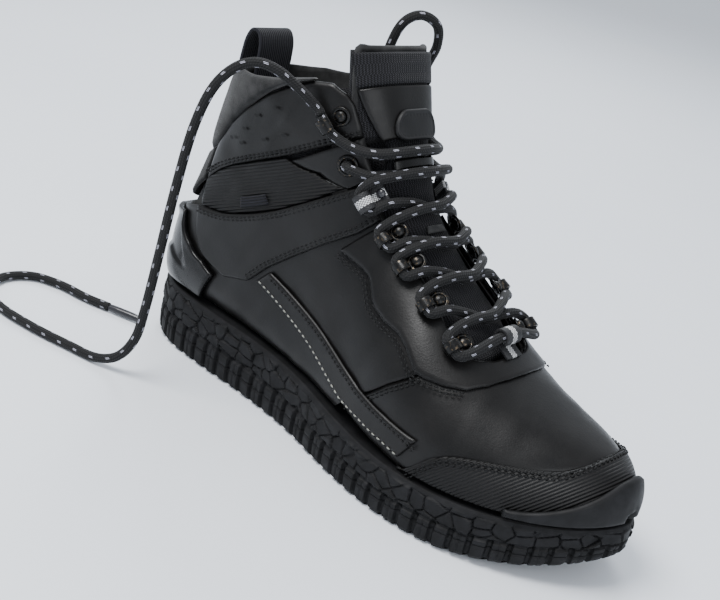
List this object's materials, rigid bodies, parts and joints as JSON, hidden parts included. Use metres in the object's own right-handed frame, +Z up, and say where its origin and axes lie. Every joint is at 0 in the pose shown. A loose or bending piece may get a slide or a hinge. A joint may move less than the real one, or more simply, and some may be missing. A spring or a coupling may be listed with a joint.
{
  "type": "hiking boot",
  "caption": "Black leather hiking boot, ankle height, right foot, with a ribbed toe guard, padded collar and tongue, riveted lace hooks and a round lace with one end hanging free.",
  "frame": {"origin": "on the floor, under the middle of the sole's tread", "axes": "+X forward to the toe, +Y to the inner (medial) side of a right boot, +Z up from the tread"},
  "size_m": [0.3676, 0.1552, 0.2094],
  "materials": {
    "rubber": "matte moulded",
    "badge_rubber": "soft moulded, blank",
    "foam": "matte moulded foam",
    "tpu": "gloss",
    "leather": "smooth, soft sheen",
    "ribbed": "ribbed emboss, matte",
    "textile": "woven mesh",
    "suede": "nubuck, matte",
    "lace": "braided, ribbed, with grey flecks",
    "webbing": "ribbed webbing",
    "metal": "black oxide, worn",
    "board": "pressed fibre board",
    "steel": "rolled strip"
  },
  "bodies": {
    "boot": {"achilles_panel": "suede", "aglet_lateral": "tpu", "aglet_medial": "tpu", "ankle_band_lateral": "leather", "ankle_band_medial": "leather", "collar_edge": "suede", "collar_panel_lateral": "leather", "collar_panel_medial": "leather", "eyelet_panel_lateral": "leather", "eyelet_panel_medial": "leather", "eyelet_ring_lateral": "metal", "eyelet_ring_medial": "metal", "eyestay": "leather", "heel_clip": "tpu", "heel_counter": "board", "hook_lateral_1": "metal", "hook_lateral_2": "metal", "hook_lateral_3": "metal", "hook_lateral_4": "metal", "hook_medial_1": "metal", "hook_medial_2": "metal", "hook_medial_3": "metal", "hook_medial_4": "metal", "insole_board": "board", "lace_end_lateral": "lace", "lace_end_medial": "lace", "lace_held": "lace", "lace_keeper": "webbing", "lining_lateral": "textile", "lining_medial": "textile", "lining_vamp": "textile", "midsole": "foam", "outsole": "rubber", "pull_loop": "webbing", "quarter_lateral": "leather", "quarter_medial": "leather", "ribbed_insert_lateral": "ribbed", "ribbed_insert_medial": "ribbed", "shank": "steel", "side_label": "webbing", "side_strip_lateral": "leather", "side_strip_medial": "leather", "toe_bumper": "rubber", "toe_guard": "ribbed", "toe_puff": "board", "top_hook_lateral": "metal", "top_hook_medial": "metal", "vamp": "leather", "webbing_loop_lateral": "webbing", "webbing_loop_medial": "webbing"},
    "tongue": {"tongue": "textile", "tongue_face": "leather", "tongue_top_band": "textile", "tongue_fold": "leather", "tongue_tab": "suede", "tongue_badge": "badge_rubber"},
    "footbed": {"footbed": "textile"}
  },
  "joints": [
    {"name": "tongue_swing", "type": "hinge", "parent": "boot", "child": "tongue", "pos_m": [0.066, 0.001, 0.08], "axis": [0, 1, 0], "range_deg": [-2, 0]},
    {"name": "footbed_lift", "type": "hinge", "parent": "boot", "child": "footbed", "pos_m": [0.13, 0.001, 0.0335], "axis": [0, 1, 0], "range_deg": [0, 8]}
  ]
}
